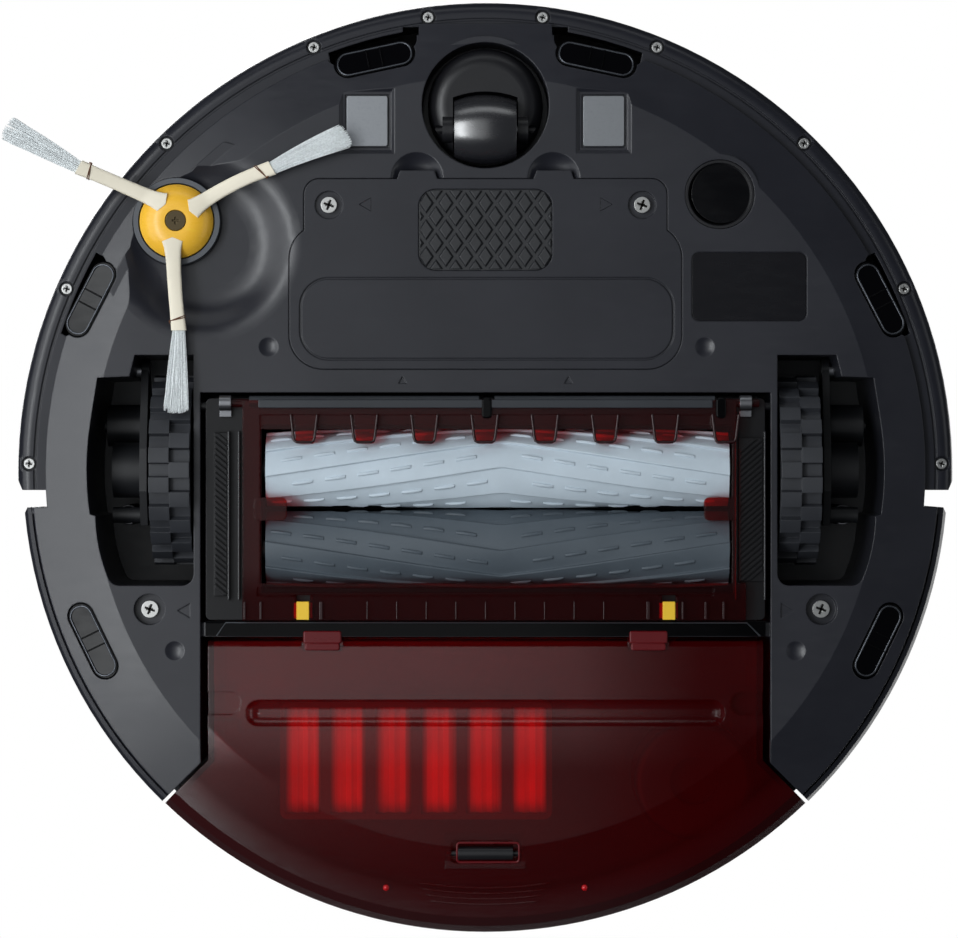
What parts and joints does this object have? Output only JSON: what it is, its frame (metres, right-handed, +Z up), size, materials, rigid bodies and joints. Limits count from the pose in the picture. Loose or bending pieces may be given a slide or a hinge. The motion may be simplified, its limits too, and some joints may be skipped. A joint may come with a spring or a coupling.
{
  "type": "robot vacuum",
  "caption": "Round robot vacuum with a sprung bumper, suspended drive wheels, a swivel caster, a side brush, a twin rubber-roller head and a slide-out bin.",
  "frame": {"origin": "on the floor under the middle of the robot's outline", "axes": "+Z up, +X the robot's own left, -Y its front with the bumper and the caster"},
  "size_m": [0.3567, 0.351, 0.0914],
  "materials": {
    "body_plastic": "fine-textured dark grey moulded ABS, satin",
    "cover_plastic": "textured dark grey ABS",
    "shell_plastic": "dark grey ABS with a soft gloss",
    "top_plastic": "dark charcoal ABS with a brushed look",
    "face_plastic": "glossy black plastic",
    "trim_metal": "satin metallic ring",
    "lens_plastic": "infra-red clear black plastic, polished",
    "black_plastic": "black nylon",
    "grip_rubber": "dark rubber with raised diamonds",
    "screw_steel": "nickel-plated steel",
    "battery_wrap": "pack of cells in a plastic sleeve",
    "contact_metal": "satin nickel plate",
    "board": "green circuit board",
    "gear_plastic": "dark nylon gear case",
    "ring_plastic": "light grey plastic",
    "axle_steel": "ground steel",
    "spring_steel": "spring wire",
    "rim_plastic": "dark plastic rim",
    "tyre_rubber": "dark grey rubber tread",
    "caster_plastic": "smooth black plastic",
    "hub_yellow": "yellow plastic",
    "arm_rubber": "cream flexible rubber",
    "bristle": "white nylon filaments",
    "frame_red": "smoky red translucent plastic",
    "bin_red": "smoky red translucent plastic",
    "latch_yellow": "yellow plastic tabs",
    "roller_pale": "pale blue-grey rubber",
    "roller_grey": "dark grey rubber",
    "core_plastic": "grey plastic core",
    "filter_white": "pleated filter paper",
    "filter_plastic": "yellow filter frame",
    "fan_plastic": "black fan housing",
    "button_metal": "satin metallic button",
    "button_plastic": "dark buttons",
    "handle_plastic": "dark handle"
  },
  "bodies": {
    "chassis": {"chassis_base": "body_plastic", "rear_shell": "shell_plastic", "top_cover": "top_plastic", "faceplate": "face_plastic", "trim_ring": "trim_metal", "camera_window": "lens_plastic", "battery_cover": "cover_plastic", "cover_grip": "grip_rubber", "underside_screws": "screw_steel", "battery_pack": "battery_wrap", "charging_contacts": "contact_metal", "cliff_sensor_windows": "lens_plastic", "floor_sensor_cup": "black_plastic", "main_board": "board", "side_brush_gearbox": "gear_plastic", "side_brush_ring": "ring_plastic", "wheel_arm_pins": "axle_steel", "bumper_springs": "spring_steel", "left_arm_spring": "spring_steel", "right_arm_spring": "spring_steel", "handle_pin": "axle_steel"},
    "bumper": {"bumper_shell": "shell_plastic", "bumper_window": "lens_plastic", "bumper_screws": "screw_steel"},
    "left_arm": {"left_wheel_arm": "gear_plastic", "left_wheel_motor": "axle_steel"},
    "left_wheel": {"left_wheel_rim": "rim_plastic", "left_wheel_tyre": "tyre_rubber"},
    "right_arm": {"right_wheel_arm": "gear_plastic", "right_wheel_motor": "axle_steel"},
    "right_wheel": {"right_wheel_rim": "rim_plastic", "right_wheel_tyre": "tyre_rubber"},
    "caster": {"caster_fork": "black_plastic", "caster_axle": "axle_steel"},
    "caster_roller": {"caster_wheel": "caster_plastic"},
    "side_brush": {"side_brush_hub": "hub_yellow", "side_brush_arms": "arm_rubber", "side_brush_bristles": "bristle", "side_brush_screw": "screw_steel"},
    "cleaning_head": {"head_housing": "black_plastic", "head_gearbox": "gear_plastic", "frame_clips": "axle_steel"},
    "brush_frame": {"brush_frame": "frame_red"},
    "left_latch": {"frame_latch_left": "latch_yellow"},
    "right_latch": {"frame_latch_right": "latch_yellow"},
    "front_roller": {"front_roller_core": "core_plastic", "front_roller_tread": "roller_pale"},
    "rear_roller": {"rear_roller_core": "core_plastic", "rear_roller_tread": "roller_grey"},
    "dust_bin": {"bin_shell": "bin_red", "bin_door": "bin_red", "filter_frame": "filter_plastic", "filter_media": "filter_white", "vacuum_fan": "fan_plastic"},
    "bin_roller": {"bin_roller": "black_plastic"},
    "bin_button": {"bin_button": "button_plastic"},
    "clean_button": {"clean_button": "button_metal"},
    "dock_button": {"dock_button": "button_plastic"},
    "spot_button": {"spot_button": "button_plastic"},
    "carry_handle": {"carry_handle": "handle_plastic"}
  },
  "joints": [
    {"name": "bumper_press", "type": "slide", "parent": "chassis", "child": "bumper", "axis": [0, 1, 0], "range_m": [0, 0.003], "stiffness_N_per_m": 400, "springref_m": -0.004, "deforming": ["bumper_springs"]},
    {"name": "left_suspension", "type": "hinge", "parent": "chassis", "child": "left_arm", "pos_m": [0.128, -0.038, 0.038], "axis": [1, 0, 0], "range_deg": [-26, 0], "stiffness_Nm_per_rad": 0.06, "springref_deg": -68.75, "deforming": ["left_arm_spring"]},
    {"name": "left_wheel_spin", "type": "hinge", "parent": "left_arm", "child": "left_wheel", "pos_m": [0.1176, 0, 0.036], "axis": [1, 0, 0], "continuous": true},
    {"name": "right_suspension", "type": "hinge", "parent": "chassis", "child": "right_arm", "pos_m": [-0.128, -0.038, 0.038], "axis": [1, 0, 0], "range_deg": [-26, 0], "stiffness_Nm_per_rad": 0.06, "springref_deg": -68.75, "deforming": ["right_arm_spring"]},
    {"name": "right_wheel_spin", "type": "hinge", "parent": "right_arm", "child": "right_wheel", "pos_m": [-0.1176, 0, 0.036], "axis": [1, 0, 0], "continuous": true},
    {"name": "caster_swivel", "type": "hinge", "parent": "chassis", "child": "caster", "pos_m": [0, -0.1365, 0.03], "axis": [0, 0, 1], "continuous": true},
    {"name": "caster_roll", "type": "hinge", "parent": "caster", "child": "caster_roller", "pos_m": [0, -0.1275, 0.013], "axis": [1, 0, 0], "continuous": true},
    {"name": "side_brush_spin", "type": "hinge", "parent": "chassis", "child": "side_brush", "pos_m": [-0.1155, -0.093, 0.012], "axis": [0, 0, 1], "continuous": true, "deforming": ["side_brush_bristles"]},
    {"name": "head_float", "type": "hinge", "parent": "chassis", "child": "cleaning_head", "pos_m": [0, -0.024, 0.012], "axis": [1, 0, 0], "range_deg": [0, 2.5]},
    {"name": "brush_frame_hinge", "type": "hinge", "parent": "cleaning_head", "child": "brush_frame", "pos_m": [0, -0.025, 0.0073], "axis": [-1, 0, 0], "range_deg": [0, 100]},
    {"name": "left_latch_slide", "type": "slide", "parent": "brush_frame", "child": "left_latch", "axis": [0, -1, 0], "range_m": [0, 0.002], "stiffness_N_per_m": 300, "springref_m": -0.0015},
    {"name": "right_latch_slide", "type": "slide", "parent": "brush_frame", "child": "right_latch", "axis": [0, -1, 0], "range_m": [0, 0.002], "stiffness_N_per_m": 300, "springref_m": -0.0015},
    {"name": "front_roller_spin", "type": "hinge", "parent": "cleaning_head", "child": "front_roller", "pos_m": [0, -0.0007, 0.0186], "axis": [1, 0, 0], "continuous": true},
    {"name": "rear_roller_spin", "type": "hinge", "parent": "cleaning_head", "child": "rear_roller", "pos_m": [0, 0.0297, 0.0186], "axis": [1, 0, 0], "continuous": true},
    {"name": "bin_slide", "type": "slide", "parent": "chassis", "child": "dust_bin", "axis": [0, 1, 0], "range_m": [0, 0.16]},
    {"name": "bin_roller_spin", "type": "hinge", "parent": "dust_bin", "child": "bin_roller", "pos_m": [0, 0.1433, 0.0116], "axis": [1, 0, 0], "continuous": true},
    {"name": "bin_button_press", "type": "slide", "parent": "dust_bin", "child": "bin_button", "axis": [0, -1, 0], "range_m": [0, 0.0015], "stiffness_N_per_m": 400, "springref_m": -0.0015},
    {"name": "clean_button_press", "type": "slide", "parent": "chassis", "child": "clean_button", "axis": [0, 0, -1], "range_m": [0, 0.001], "stiffness_N_per_m": 600, "springref_m": -0.0015},
    {"name": "dock_button_press", "type": "slide", "parent": "chassis", "child": "dock_button", "axis": [0, 0, -1], "range_m": [0, 0.001], "stiffness_N_per_m": 400, "springref_m": -0.0015},
    {"name": "spot_button_press", "type": "slide", "parent": "chassis", "child": "spot_button", "axis": [0, 0, -1], "range_m": [0, 0.001], "stiffness_N_per_m": 400, "springref_m": -0.0015},
    {"name": "handle_lift", "type": "hinge", "parent": "chassis", "child": "carry_handle", "pos_m": [0, 0.057, 0.0854], "axis": [1, 0, 0], "range_deg": [0, 85]}
  ],
  "couplings": [
    {"joint": "rear_roller_spin", "follows": "front_roller_spin", "ratio": -1}
  ]
}
